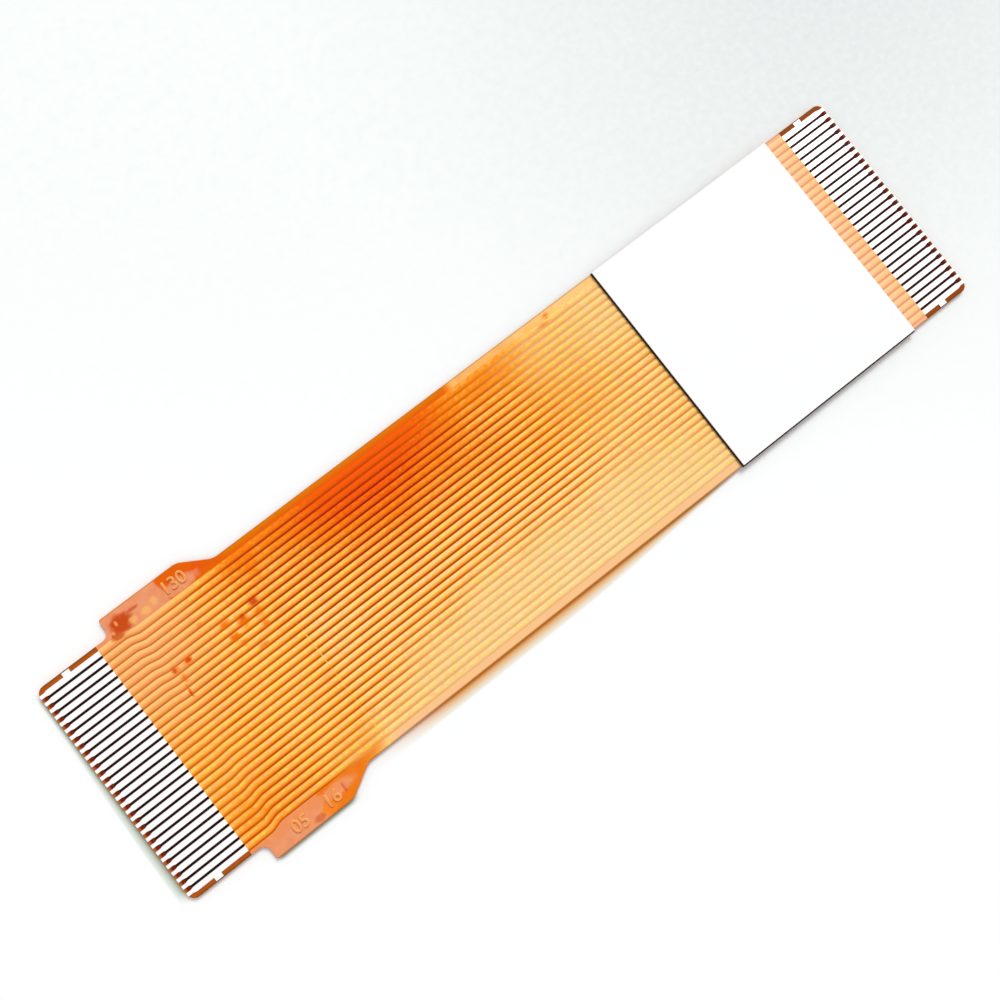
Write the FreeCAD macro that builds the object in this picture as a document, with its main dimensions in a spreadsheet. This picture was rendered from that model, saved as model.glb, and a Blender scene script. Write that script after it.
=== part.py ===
import FreeCAD
import Part
import Sketcher
import math
import os

# Flat flex cable: thirty copper conductors laminated between two polyimide films.
# +X runs along the cable, away from the end with the ears, and +Y runs across it.
# +Z points out of the contact face. The origin is under the middle of the cable,
# at the backs of the two stiffeners, which are what the cable lies on.

# Driving dimensions, in millimetres, and the number of conductors.
SIZES = (
    ("conductors", 30),
    ("cable_length", 61.6),
    ("contact_pitch", 0.5),
    ("edge_margin", 0.5),
    ("contact_gap", 0.15),
    ("trace_gap", 0.184),
    ("tail_gap", 0.27),
    ("tail_length", 0.35),
    ("shoulder_length", 0.2),
    ("left_exposed", 4.3),
    ("right_exposed", 3.5),
    ("tab_middle", 2.05),
    ("tab_length", 0.52),
    ("tab_reach", 0.25),
    ("jog_setback", 1.6),
    ("jog_length", 1.1),
    ("body_inset", 0.23),
    ("spread_setback", 1.0),
    ("ear_setback", 1.0),
    ("ear_length", 5.65),
    ("flank_length", 1.95),
    ("ear_reach", 1.15),
    ("corner_radius", 0.5),
    ("foot_radius", 0.5),
    ("front_radius", 0.15),
    ("flank_radius", 1.2),
    ("stiffener_left_length", 9.35),
    ("stiffener_right_length", 8.0),
    ("strip_length", 1.3),
    ("liner_length", 14.4),
    ("tape_overhang", 0.1),
    ("tape_side_overhang", 0.1),
    ("contact_thickness", 0.3),
    ("plating_thickness", 0.006),
    ("copper_thickness", 0.035),
    ("base_thickness", 0.05),
    ("bond_thickness", 0.04),
    ("cover_thickness", 0.05),
    ("cover_drape", 0.03),
    ("ridge_slope", 0.02),
    ("tape_thickness", 0.1),
    ("liner_thickness", 0.1),
)

MATCH = 1e-4
JOG_STEPS = 4


class Size:
    """A length, kept as a number and as the expression that ties it to the sheet."""

    def __init__(self, value, formula):
        self.value = value
        self.formula = formula

    def __add__(self, other):
        return Size(self.value + other.value, f"({self.formula} + {other.formula})")

    def __sub__(self, other):
        return Size(self.value - other.value, f"({self.formula} - {other.formula})")

    def __mul__(self, factor):
        return Size(self.value * factor, f"({self.formula} * {factor})")

    def __neg__(self):
        return Size(-self.value, f"(-{self.formula})")


def fill_sheet(document):
    """The spreadsheet of driving dimensions, one named cell each."""
    table = document.addObject("Spreadsheet::Sheet", "sizes")
    for row, (alias, value) in enumerate(SIZES, start=1):
        table.set(f"A{row}", alias)
        table.set(f"B{row}", str(value))
        table.setAlias(f"B{row}", alias)
    document.recompute()
    return table


def size(alias):
    return Size(float(sheet.get(alias)), f"sizes.{alias}")


doc = FreeCAD.newDocument("flat_flex_cable")
sheet = fill_sheet(doc)
count = int(sheet.get("conductors"))
step_span = count - 1

# Places along the cable. The middle of its length is zero.
half_length = size("cable_length") * 0.5
left_end = -half_length
right_end = half_length
cover_left = left_end + size("left_exposed")
cover_right = right_end - size("right_exposed")
liner_right = cover_right - size("strip_length")
liner_left = liner_right - size("liner_length")
jog_start = cover_left + size("jog_setback")
spread_end = liner_right - size("spread_setback")
spread_start = spread_end - size("jog_length")
ear_front = cover_left + size("ear_setback")
ear_outer = ear_front + size("ear_length")
ear_rear = ear_outer + size("flank_length")

# Places across the cable. The outermost contacts sit one margin inside the film.
outer_contact = size("contact_pitch") * (0.5 * step_span)
outer_trace = outer_contact - size("body_inset")
half_width = outer_contact + size("edge_margin")
ear_edge = half_width + size("ear_reach")
contact_width = size("contact_pitch") - size("contact_gap")
tail_width = size("contact_pitch") - size("tail_gap")
body_pitch = outer_trace * (2.0 / step_span)
trace_width = body_pitch - size("trace_gap")

# Heights. The plated contacts and their stiffener add up to the standard thickness.
floor_level = Size(0.0, "0")
copper_top = size("contact_thickness") - size("plating_thickness")
copper_level = copper_top - size("copper_thickness")
base_level = copper_level - size("base_thickness")
stiffener_thickness = base_level - size("bond_thickness")
skin_top = copper_level + size("cover_thickness")
ridge_top = skin_top + size("copper_thickness")
liner_level = ridge_top + size("tape_thickness")


def draw_outline(sketch, corners):
    """A closed polygon through corners, each an (x, y) pair of sizes."""
    points = [FreeCAD.Vector(x.value, y.value, 0) for x, y in corners]
    following = points[1:] + points[:1]
    first = sketch.GeometryCount
    sketch.addGeometry([Part.LineSegment(*ends) for ends in zip(points, following)], False)
    total = len(points)
    rules = []
    for index in range(total):
        after = first + (index + 1) % total
        rules.append(Sketcher.Constraint("Coincident", first + index, 2, after, 1))
    formulas = []
    for index, (x, y) in enumerate(corners):
        rules.append(Sketcher.Constraint("DistanceX", -1, 1, first + index, 1, x.value))
        rules.append(Sketcher.Constraint("DistanceY", -1, 1, first + index, 1, y.value))
        formulas += [x.formula, y.formula]
    placed = sketch.ConstraintCount + total
    sketch.addConstraint(rules)
    for offset, formula in enumerate(formulas):
        sketch.setExpression(f"Constraints[{placed + offset}]", formula)


def rectangle(start, end, low, high):
    return [(start, low), (end, low), (end, high), (start, high)]


def both_sides(stations):
    """The outline of a strip from its stations: place along, middle across, width."""
    near = [(x, middle - width * 0.5) for x, middle, width in stations]
    far = [(x, middle + width * 0.5) for x, middle, width in reversed(stations)]
    return near + far


def new_body(label, level):
    body = doc.addObject("PartDesign::Body", label)
    body.Label = label
    body.AllowCompound = True
    body.setExpression("Placement.Base.z", level.formula)
    return body


def new_sketch(body, name):
    """A sketch on the body's own XY plane."""
    sketch = body.newObject("Sketcher::SketchObject", name)
    plane = next(item for item in body.Origin.OriginFeatures if item.Role == "XY_Plane")
    sketch.AttachmentSupport = (plane, [""])
    sketch.MapMode = "FlatFace"
    return sketch


def add_pad(body, name, outlines, thickness):
    sketch = new_sketch(body, f"{name}_outline")
    for corners in outlines:
        draw_outline(sketch, corners)
    pad = body.newObject("PartDesign::Pad", name)
    pad.Profile = sketch
    pad.setExpression("Length", thickness.formula)
    return pad


def add_trim(body, name, outlines):
    """Cuts the outlines away through the whole thickness of the body."""
    sketch = new_sketch(body, f"{name}_outline")
    for corners in outlines:
        draw_outline(sketch, corners)
    pocket = body.newObject("PartDesign::Pocket", name)
    pocket.Profile = sketch
    pocket.Type = "ThroughAll"
    pocket.Reversed = True
    return pocket


def upright_edge(shape, corner):
    """The name of the edge that stands at an (x, y) corner of a flat piece."""
    x, y = corner
    for number, edge in enumerate(shape.Edges, start=1):
        ends = [vertex.Point for vertex in edge.Vertexes]
        if all(abs(p.x - x.value) < MATCH and abs(p.y - y.value) < MATCH for p in ends):
            return f"Edge{number}"
    raise ValueError(f"no upright edge at {x.value:.3f}, {y.value:.3f}")


def round_corners(body, name, corners, radius):
    """Rounds the upright edges at the corners of the body's last feature."""
    doc.recompute()
    base = body.Tip
    fillet = body.newObject("PartDesign::Fillet", name)
    fillet.Base = (base, [upright_edge(base.Shape, corner) for corner in corners])
    fillet.setExpression("Radius", radius.formula)


def mirrored_pairs(places, level):
    """The same places on the two long sides of the cable."""
    return [(place, level) for place in places] + [(place, -level) for place in places]


def film_corners():
    """The film's outline, with square corners: a strip with an ear on each side."""
    near = [(left_end, -half_width), (ear_front, -half_width), (ear_front, -ear_edge)]
    near += [(ear_outer, -ear_edge), (ear_rear, -half_width), (right_end, -half_width)]
    return near + [(x, -y) for x, y in reversed(near)]


def film_layer(label, level, thickness, start=left_end, end=right_end):
    """One flat layer with the film's outline, kept from start to end."""
    body = new_body(label, level)
    add_pad(body, f"{label}_sheet", [film_corners()], thickness)
    ends = mirrored_pairs([left_end, right_end], half_width)
    flanks = mirrored_pairs([ear_outer], ear_edge) + mirrored_pairs([ear_rear], half_width)
    feet = mirrored_pairs([ear_front], half_width)
    round_corners(body, f"{label}_ends", ends, size("corner_radius"))
    round_corners(body, f"{label}_flanks", flanks, size("flank_radius"))
    round_corners(body, f"{label}_feet", feet, size("foot_radius"))
    round_corners(body, f"{label}_fronts", mirrored_pairs([ear_front], ear_edge), size("front_radius"))
    beyond = ear_edge * 2
    cuts = []
    if start is not left_end:
        cuts.append(rectangle(left_end * 2, start, -beyond, beyond))
    if end is not right_end:
        cuts.append(rectangle(end, right_end * 2, -beyond, beyond))
    if cuts:
        add_trim(body, f"{label}_trim", cuts)
    return body


def contact_middle(number):
    """Where conductor number, counted from the +Y side, lies in both contact rows."""
    return outer_contact - size("contact_pitch") * (number - 1)


def trace_middle(number):
    """Where the same conductor lies in the narrower run between the rows."""
    return outer_trace - body_pitch * (number - 1)


def run_stations(number, widening=floor_level):
    """The run from the left contacts, through a soft S to the inner pitch, and back."""
    contact = contact_middle(number)
    middle = trace_middle(number)
    wide = contact_width + widening
    narrow = trace_width + widening
    stations = []
    for step in range(JOG_STEPS + 1):
        along = step / JOG_STEPS
        eased = 0.5 - 0.5 * math.cos(math.pi * along)
        place = jog_start + size("jog_length") * along
        across = contact + (middle - contact) * eased
        stations.append((place, across, wide + (narrow - wide) * eased))
    stations.append((spread_start, middle, narrow))
    stations.append((spread_end, contact, wide))
    return stations


def left_tip_stations(middle):
    """A contact finger's end: a narrow tail out to the film's edge, then a shoulder."""
    tail_end = left_end + size("tail_length")
    shoulder_end = tail_end + size("shoulder_length")
    return [
        (left_end, middle, tail_width),
        (tail_end, middle, tail_width),
        (shoulder_end, middle, contact_width),
    ]


def right_tip_stations(middle):
    return [(-x, y, width) for x, y, width in reversed(left_tip_stations(middle))]


def tab_outline(number, end):
    """The square registration tab on the outer side of an outermost finger."""
    middle = contact_middle(number)
    inward = 1 if end is left_end else -1
    outward = 1 if number == 1 else -1
    centre = end + size("tab_middle") * inward
    tip = middle + (contact_width * 0.5 + size("tab_reach")) * outward
    low, high = (middle, tip) if outward > 0 else (tip, middle)
    half = size("tab_length") * 0.5
    return rectangle(centre - half, centre + half, low, high)


def make_trace(number):
    """One copper conductor, etched as a single strip from end to end."""
    label = f"trace_{number:02d}"
    middle = contact_middle(number)
    stations = left_tip_stations(middle) + run_stations(number) + right_tip_stations(middle)
    body = new_body(label, copper_level)
    add_pad(body, f"{label}_strip", [both_sides(stations)], size("copper_thickness"))
    if number in (1, count):
        tabs = [tab_outline(number, left_end), tab_outline(number, right_end)]
        add_pad(body, f"{label}_tabs", tabs, size("copper_thickness"))
    return body


def make_plating(label, end, stations):
    """The tin skin on one row of contact fingers, a separate patch on each."""
    body = new_body(label, copper_top)
    thickness = size("plating_thickness")
    patch = add_pad(body, f"{label}_patch", [both_sides(stations)], thickness)
    row = body.newObject("PartDesign::LinearPattern", f"{label}_row")
    row.Originals = [patch]
    row.Direction = (patch.Profile[0], ["V_Axis"])
    row.Reversed = True
    row.setExpression("Length", (outer_contact * 2).formula)
    row.setExpression("Occurrences", "sizes.conductors")
    body.Tip = row
    tabs = [tab_outline(1, end), tab_outline(count, end)]
    add_pad(body, f"{label}_tabs", tabs, thickness)
    return body


def ridge_section(number, name, level, widening):
    """The plan outline of one ridge at one height, between the cover film's ends."""
    wide = contact_width + widening
    contact = contact_middle(number)
    stations = [(cover_left, contact, wide)]
    stations += run_stations(number, widening)
    stations.append((cover_right, contact, wide))
    sketch = doc.addObject("Sketcher::SketchObject", name)
    sketch.setExpression("Placement.Base.z", level.formula)
    draw_outline(sketch, both_sides(stations))
    return sketch


def make_ridge(number):
    """The cover film's rise over one conductor, with sloping flanks."""
    label = f"ridge_{number:02d}"
    spread = size("cover_drape") * 2
    crest = spread - size("ridge_slope") * 2
    ridge = doc.addObject("Part::Loft", label)
    ridge.Sections = [
        ridge_section(number, f"{label}_foot", skin_top, spread),
        ridge_section(number, f"{label}_crest", ridge_top, crest),
    ]
    ridge.Solid = True
    ridge.Ruled = True
    return ridge


def make_coverlay(skin, traces):
    """The cover film: its flat skin gets a ridge and a channel for each trace."""
    blank = doc.addObject("Part::MultiFuse", "cover_blank")
    blank.Shapes = [skin] + [make_ridge(number) for number in range(1, count + 1)]
    copper = doc.addObject("Part::Compound", "copper_pattern")
    copper.Links = traces
    cover = doc.addObject("Part::Cut", "coverlay")
    cover.Base = blank
    cover.Tool = copper
    return cover


def make_block(label, start, end, low, level, thickness):
    """A plain rectangular piece across the film, from low to the film's +Y edge."""
    block = doc.addObject("Part::Box", label)
    block.Label = label
    block.setExpression("Length", (end - start).formula)
    block.setExpression("Width", (half_width - low).formula)
    block.setExpression("Height", thickness.formula)
    block.setExpression("Placement.Base.x", start.formula)
    block.setExpression("Placement.Base.y", low.formula)
    block.setExpression("Placement.Base.z", level.formula)
    return block


def make_stiffened_end(side, start, end):
    """A stiffener behind one row of contacts and the adhesive that bonds it."""
    bond = size("bond_thickness")
    return [
        film_layer(f"stiffener_{side}", floor_level, stiffener_thickness, start, end),
        film_layer(f"stiffener_bond_{side}", stiffener_thickness, bond, start, end),
    ]


def make_parts():
    """Every sub-part of the cable, from the back face up."""
    stiffener_end = left_end + size("stiffener_left_length")
    stiffener_start = right_end - size("stiffener_right_length")
    first = contact_middle(1)
    left_contacts = left_tip_stations(first) + [(cover_left, first, contact_width)]
    right_contacts = [(cover_right, first, contact_width)] + right_tip_stations(first)
    parts = make_stiffened_end("left", left_end, stiffener_end)
    parts += make_stiffened_end("right", stiffener_start, right_end)
    parts.append(film_layer("base_film", base_level, size("base_thickness")))
    cover = size("cover_thickness")
    skin = film_layer("cover_skin", copper_level, cover, cover_left, cover_right)
    traces = [make_trace(number) for number in range(1, count + 1)]
    parts += traces
    parts.append(make_plating("contact_plating_left", left_end, left_contacts))
    parts.append(make_plating("contact_plating_right", right_end, right_contacts))
    parts.append(make_coverlay(skin, traces))
    tape_start = liner_left - size("tape_overhang")
    tape_low = -half_width - size("tape_side_overhang")
    tape = size("tape_thickness")
    liner = size("liner_thickness")
    parts.append(make_block("adhesive_tape", tape_start, liner_right, tape_low, ridge_top, tape))
    parts.append(make_block("release_liner", liner_left, liner_right, -half_width, liner_level, liner))
    return parts


def check_parts(parts):
    """Stops if any object failed or any sub-part has no sound solid."""
    for item in doc.Objects:
        if {"Invalid", "Error"} & set(item.State):
            raise RuntimeError(f"{item.Name} failed: {item.State}")
    for part in parts:
        if part.Shape.isNull() or not part.Shape.isValid():
            raise RuntimeError(f"{part.Label} has no valid shape")


parts = make_parts()
doc.recompute()
check_parts(parts)
os.makedirs("parts", exist_ok=True)
for part in parts:
    part.Shape.exportStep(f"parts/{part.Label}.step")
    print(part.Label, len(part.Shape.Solids), round(part.Shape.Volume, 5))
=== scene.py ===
import math

import bpy
from mathutils import Matrix, Vector


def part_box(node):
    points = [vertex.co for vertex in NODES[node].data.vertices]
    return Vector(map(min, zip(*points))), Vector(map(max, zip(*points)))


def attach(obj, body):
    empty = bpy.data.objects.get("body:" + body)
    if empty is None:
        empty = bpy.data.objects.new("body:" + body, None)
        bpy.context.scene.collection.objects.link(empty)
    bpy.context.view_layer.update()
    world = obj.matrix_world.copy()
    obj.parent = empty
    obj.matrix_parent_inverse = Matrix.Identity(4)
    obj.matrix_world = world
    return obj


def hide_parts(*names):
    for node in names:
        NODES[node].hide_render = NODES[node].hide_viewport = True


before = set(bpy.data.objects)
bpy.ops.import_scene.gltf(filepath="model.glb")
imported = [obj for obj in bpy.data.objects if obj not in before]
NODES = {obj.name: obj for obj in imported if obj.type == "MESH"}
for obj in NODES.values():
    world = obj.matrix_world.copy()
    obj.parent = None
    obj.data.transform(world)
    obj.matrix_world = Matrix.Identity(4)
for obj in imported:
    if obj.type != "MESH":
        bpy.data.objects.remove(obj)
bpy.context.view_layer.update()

MM = 0.001
BODY = "root"
CONDUCTORS = sorted(name for name in NODES if name.startswith("trace_"))

# Places on the cable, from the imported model
COVER_LOW, COVER_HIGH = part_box("coverlay")
FILM_LOW, FILM_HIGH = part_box("base_film")
STIFFENER_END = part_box("stiffener_left")[1].x
HALF_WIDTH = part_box("release_liner")[1].y
LENGTH = FILM_HIGH.x - FILM_LOW.x
NEAR = 1e-6


def from_left(distance):
    """A place along the cable, in metres, from its distance in millimetres behind the left tips."""
    return FILM_LOW.x + distance * MM


# Camera
CAMERA_PLACE = Vector((-8.28, -2.49, 61.90)) * MM
CAMERA_TARGET = Vector((-1.905, -0.099, 0.30)) * MM
CAMERA_UP = Vector((0.607935, 0.78846, 0.093515))
SENSOR = 36.0
LENS = 36.0
CLIP_START = 1 * MM
CLIP_END = 10.0


def make_camera():
    back = (CAMERA_PLACE - CAMERA_TARGET).normalized()
    right = CAMERA_UP.cross(back).normalized()
    up = back.cross(right)
    data = bpy.data.cameras.new("camera")
    data.sensor_width = SENSOR
    data.lens = LENS
    data.clip_start = CLIP_START
    data.clip_end = CLIP_END
    camera = bpy.data.objects.new("camera", data)
    camera.matrix_world = Matrix.Translation(CAMERA_PLACE) @ Matrix((right, up, back)).transposed().to_4x4()
    bpy.context.scene.collection.objects.link(camera)
    bpy.context.scene.camera = camera


# Colours
def linear(channel):
    share = channel / 255
    return share / 12.92 if share <= 0.04045 else ((share + 0.055) / 1.055) ** 2.4


def colour(red, green, blue):
    """A display colour, 0 to 255 a channel, as the linear values that a shader takes."""
    return (linear(red), linear(green), linear(blue), 1.0)


WHITE = colour(255, 255, 255)
WARP_SIZE = 0.6


class Shader:
    """One material's nodes, with a short method for each kind of node."""

    def __init__(self, name):
        self.material = bpy.data.materials.new(name)
        self.material.use_nodes = True
        self.nodes = self.material.node_tree.nodes
        self.nodes.clear()
        output = self.nodes.new("ShaderNodeOutputMaterial")
        self.surface = self.nodes.new("ShaderNodeBsdfPrincipled")
        self.link(self.surface.outputs[0], output.inputs["Surface"])
        coordinates = self.nodes.new("ShaderNodeTexCoord")
        self.place = coordinates.outputs["Object"]
        self.normal = coordinates.outputs["Normal"]
        self.x, self.y, self.z = self.split(self.place)

    def link(self, source, target):
        self.material.node_tree.links.new(source, target)

    def feed(self, target, value):
        """Links a node's output to a socket, or sets the socket to a plain value."""
        if isinstance(value, bpy.types.NodeSocket):
            self.link(value, target)
        else:
            target.default_value = value

    def split(self, vector):
        node = self.nodes.new("ShaderNodeSeparateXYZ")
        self.link(vector, node.inputs[0])
        return node.outputs

    def math(self, operation, *values):
        node = self.nodes.new("ShaderNodeMath")
        node.operation = operation
        for socket, value in zip(node.inputs, values):
            self.feed(socket, value)
        return node.outputs[0]

    def combine(self, operation, values):
        total = values[0]
        for value in values[1:]:
            total = self.math(operation, total, value)
        return total

    def add(self, *values):
        return self.combine("ADD", values)

    def scale(self, *values):
        return self.combine("MULTIPLY", values)

    def most(self, *values):
        return self.combine("MAXIMUM", values)

    def less(self, value, amount):
        return self.math("SUBTRACT", value, amount)

    def divide(self, value, whole):
        return self.math("DIVIDE", value, whole)

    def absolute(self, value):
        return self.math("ABSOLUTE", value)

    def above(self, value, limit):
        """1 where value is more than limit, else 0."""
        return self.math("GREATER_THAN", value, limit)

    def below(self, value, limit):
        """1 where value is less than limit, else 0."""
        return self.math("LESS_THAN", value, limit)

    def ease(self, value, start, end, low=0.0, high=1.0):
        """Goes smoothly from low to high while value goes from start to end."""
        node = self.nodes.new("ShaderNodeMapRange")
        node.interpolation_type = "SMOOTHSTEP"
        for socket, part in zip(node.inputs, (value, start, end, low, high)):
            self.feed(socket, part)
        return node.outputs[0]

    def along(self, start, end, low=0.0, high=1.0):
        """Eases between two places along the cable, in millimetres from the left tips."""
        return self.ease(self.x, from_left(start), from_left(end), low, high)

    def between(self, rise, fall):
        """Rises from 0 to 1 over one stretch of the cable and falls back to 0 over another."""
        return self.scale(self.along(*rise), self.along(*fall, 1.0, 0.0))

    def noise(self, size, detail=3.0, roughness=0.55, stretch=(1, 1, 1)):
        """Noise from 0 to 1 whose spots are about size metres wide, stretched along each axis."""
        mapping = self.nodes.new("ShaderNodeMapping")
        mapping.inputs["Scale"].default_value = [1 / (size * part) for part in stretch]
        self.link(self.place, mapping.inputs["Vector"])
        node = self.nodes.new("ShaderNodeTexNoise")
        node.inputs["Scale"].default_value = 1.0
        node.inputs["Detail"].default_value = detail
        node.inputs["Roughness"].default_value = roughness
        self.link(mapping.outputs[0], node.inputs["Vector"])
        return node.outputs["Fac"]

    def drift(self, size, amount, stretch=(1, 1, 1)):
        """Noise about zero, up to about half of amount either way."""
        return self.scale(self.less(self.noise(size, stretch=stretch), 0.5), amount)

    def spot(self, centre, reach, warp=0.0, edge=0.0, strength=1.0):
        """An ellipse on the cable's plane, in millimetres from the left tips and from the middle. It has its
        strength up to edge, a share of the way out, and falls to 0 at the rim, which warp makes uneven."""
        place, across = centre
        over_x = self.divide(self.less(self.x, from_left(place)), reach[0] * MM)
        over_y = self.divide(self.less(self.y, across * MM), reach[1] * MM)
        distance = self.math("SQRT", self.add(self.scale(over_x, over_x), self.scale(over_y, over_y)))
        if warp:
            distance = self.add(distance, self.drift(min(reach) * MM * WARP_SIZE, warp))
        return self.ease(distance, edge, 1.0, strength, 0.0)

    def mix(self, share, first, second):
        node = self.nodes.new("ShaderNodeMix")
        node.data_type = "RGBA"
        self.feed(node.inputs["Factor"], share)
        first_colour, second_colour = [socket for socket in node.inputs if socket.type == "RGBA"]
        self.feed(first_colour, first)
        self.feed(second_colour, second)
        return next(socket for socket in node.outputs if socket.type == "RGBA")

    def ramp(self, value, stops):
        """A colour for value, from stops of place and colour in rising order."""
        node = self.nodes.new("ShaderNodeValToRGB")
        elements = node.color_ramp.elements
        while len(elements) < len(stops):
            elements.new(0.5)
        for element, (position, shade) in zip(elements, stops):
            element.position = position
            element.color = shade
        self.link(value, node.inputs[0])
        return node.outputs[0]

    def bump(self, height, strength, distance):
        node = self.nodes.new("ShaderNodeBump")
        node.inputs["Strength"].default_value = strength
        node.inputs["Distance"].default_value = distance
        self.link(height, node.inputs["Height"])
        self.link(node.outputs[0], self.surface.inputs["Normal"])

    def finish(self, shade, roughness, specular=0.5, metallic=0.0):
        self.feed(self.surface.inputs["Base Color"], shade)
        self.feed(self.surface.inputs["Roughness"], roughness)
        self.surface.inputs["Specular IOR Level"].default_value = specular
        self.surface.inputs["Metallic"].default_value = metallic
        return self.material


# The conductors' lines, which the films show
def station_centres(name):
    """The middle of one conductor at each place along the cable where its edges have a point."""
    stations = {}
    for vertex in NODES[name].data.vertices:
        stations.setdefault(round(vertex.co.x, 7), []).append(vertex.co.y)
    return sorted((x, (min(ys) + max(ys)) / 2) for x, ys in stations.items())


def half_width_at(name, place):
    """Half of one conductor's width at a place along the cable, away from its tabs."""
    ys = [vertex.co.y for vertex in NODES[name].data.vertices if abs(vertex.co.x - place) < NEAR]
    return (max(ys) - min(ys)) / 2


def covered_run(name):
    """How one conductor runs under the cover: its line by the contacts and in the body, the four places where
    it changes, and half of its width by the contacts and in the body."""
    inside = [(x, y) for x, y in station_centres(name) if COVER_LOW.x + NEAR < x < COVER_HIGH.x - NEAR]
    xs = [x for x, _ in inside]
    gaps = [b - a for a, b in zip(xs, xs[1:])]
    split = gaps.index(max(gaps))
    return {
        "end": inside[0][1],
        "body": inside[split][1],
        "places": (xs[0], xs[split], xs[split + 1], xs[-1]),
        "wide": half_width_at(name, xs[0]),
        "narrow": half_width_at(name, xs[split]),
    }


RUNS = [covered_run(name) for name in CONDUCTORS]
JOG_START, JOG_END, SPREAD_START, SPREAD_END = RUNS[0]["places"]
OUTERMOST = RUNS[0]["end"]
CONTACT_PITCH = (RUNS[0]["end"] - RUNS[-1]["end"]) / (len(RUNS) - 1)
BODY_PITCH = (RUNS[0]["body"] - RUNS[-1]["body"]) / (len(RUNS) - 1)


def swing(x, start, end):
    """Eases from 0 at start to 1 at end, as a half wave."""
    share = min(max((x - start) / (end - start), 0.0), 1.0)
    return (1 - math.cos(math.pi * share)) / 2


def spread_at(x):
    """1 where the conductors lie at the contacts' pitch, 0 where they are drawn in."""
    return 1 - swing(x, JOG_START, JOG_END) + swing(x, SPREAD_START, SPREAD_END)


def line_at(run, x):
    return run["body"] + (run["end"] - run["body"]) * spread_at(x)


def copper_half_at(x):
    """Half of a conductor's width."""
    wide, narrow = RUNS[0]["wide"], RUNS[0]["narrow"]
    return narrow + (wide - narrow) * spread_at(x)


# Cover film
def skin_top():
    """The height of the cover between its ridges."""
    heights = {round(vertex.co.z, 7) for vertex in NODES["coverlay"].data.vertices}
    return max(z for z in heights if z < COVER_HIGH.z - NEAR)


SKIN_TOP = skin_top()
COPPER_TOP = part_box(CONDUCTORS[0])[1].z
RIDGE_DRAPE = 0.03 * MM
RIDGE_SHARES = (1.0, 0.93, 0.84, 0.7, 0.52, 0.3, 0.0)
RIDGE_POWER = 3.0
CHANNEL_WALL = 0.004 * MM
EDGE_ROUND = 0.045 * MM
JOG_STATIONS = 14
BODY_STATIONS = 24
SHARP_ANGLE = 50


def half_ridge(copper_half):
    """One side of a ridge, from its foot to its crest: distance from the middle, top and underside."""
    foot = copper_half + RIDGE_DRAPE
    rise = COVER_HIGH.z - SKIN_TOP
    points = [(copper_half + CHANNEL_WALL, COVER_LOW.z), (copper_half, COPPER_TOP)]
    for share in RIDGE_SHARES:
        out = foot * share
        points.append((out, COVER_LOW.z if out > copper_half else COPPER_TOP))
    points.sort(reverse=True)
    return [(out, SKIN_TOP + rise * (1 - (out / foot) ** RIDGE_POWER), under) for out, under in points]


def ridge_section(copper_half):
    """A ridge's whole section, from its +Y foot to its -Y foot."""
    near = half_ridge(copper_half)
    return near + [(-out, top, under) for out, top, under in reversed(near[:-1])]


def even_steps(start, end, count):
    return [start + (end - start) * step / count for step in range(count + 1)]


def cover_stations():
    jog = even_steps(JOG_START, JOG_END, JOG_STATIONS)
    body = even_steps(JOG_END, SPREAD_START, BODY_STATIONS)[1:-1]
    spread = even_steps(SPREAD_START, SPREAD_END, JOG_STATIONS)
    return [COVER_LOW.x] + jog + body + spread + [COVER_HIGH.x]


def cover_outline(side):
    """The cover's edge on one side, from the left end to the right, as places along and across."""
    beyond = abs(OUTERMOST) + RUNS[0]["wide"] + RIDGE_DRAPE + NEAR
    places = {(round(vertex.co.x, 7), round(vertex.co.y, 7)) for vertex in NODES["coverlay"].data.vertices}
    corners = [(x, y) for x, y in places if y * side > beyond]
    return sorted(corners, key=lambda corner: (corner[0], corner[1] * side))


def inset(outline, side, distance):
    """The outline moved inwards. Its two ends stay at the cover's ends."""
    moved = []
    for index, (x, y) in enumerate(outline):
        before = Vector(outline[max(index - 1, 0)])
        after = Vector(outline[min(index + 1, len(outline) - 1)])
        heading = (after - before).normalized()
        moved.append((x + heading.y * distance * side, y - heading.x * distance * side))
    for end in (0, -1):
        moved[end] = (outline[end][0], outline[end][1] - side * distance)
    return moved


class Mesh:
    """Points and faces that become one piece of the object."""

    def __init__(self):
        self.points = []
        self.faces = []

    def add(self, x, y, z):
        self.points.append((x, y, z))
        return len(self.points) - 1

    def face(self, corners, turned=False):
        self.faces.append(tuple(reversed(corners)) if turned else tuple(corners))

    def strip(self, near, far, turned=False):
        """Quads between two rows of points."""
        for index in range(len(near) - 1):
            self.face((near[index], near[index + 1], far[index + 1], far[index]), turned)

    def piece(self, name, material):
        mesh = bpy.data.meshes.new(name)
        mesh.from_pydata(self.points, [], self.faces)
        mesh.validate()
        mesh.shade_smooth()
        mesh.set_sharp_from_angle(angle=math.radians(SHARP_ANGLE))
        mesh.materials.append(material)
        made = bpy.data.objects.new(name, mesh)
        bpy.context.scene.collection.objects.link(made)
        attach(made, BODY)
        return made


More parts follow.
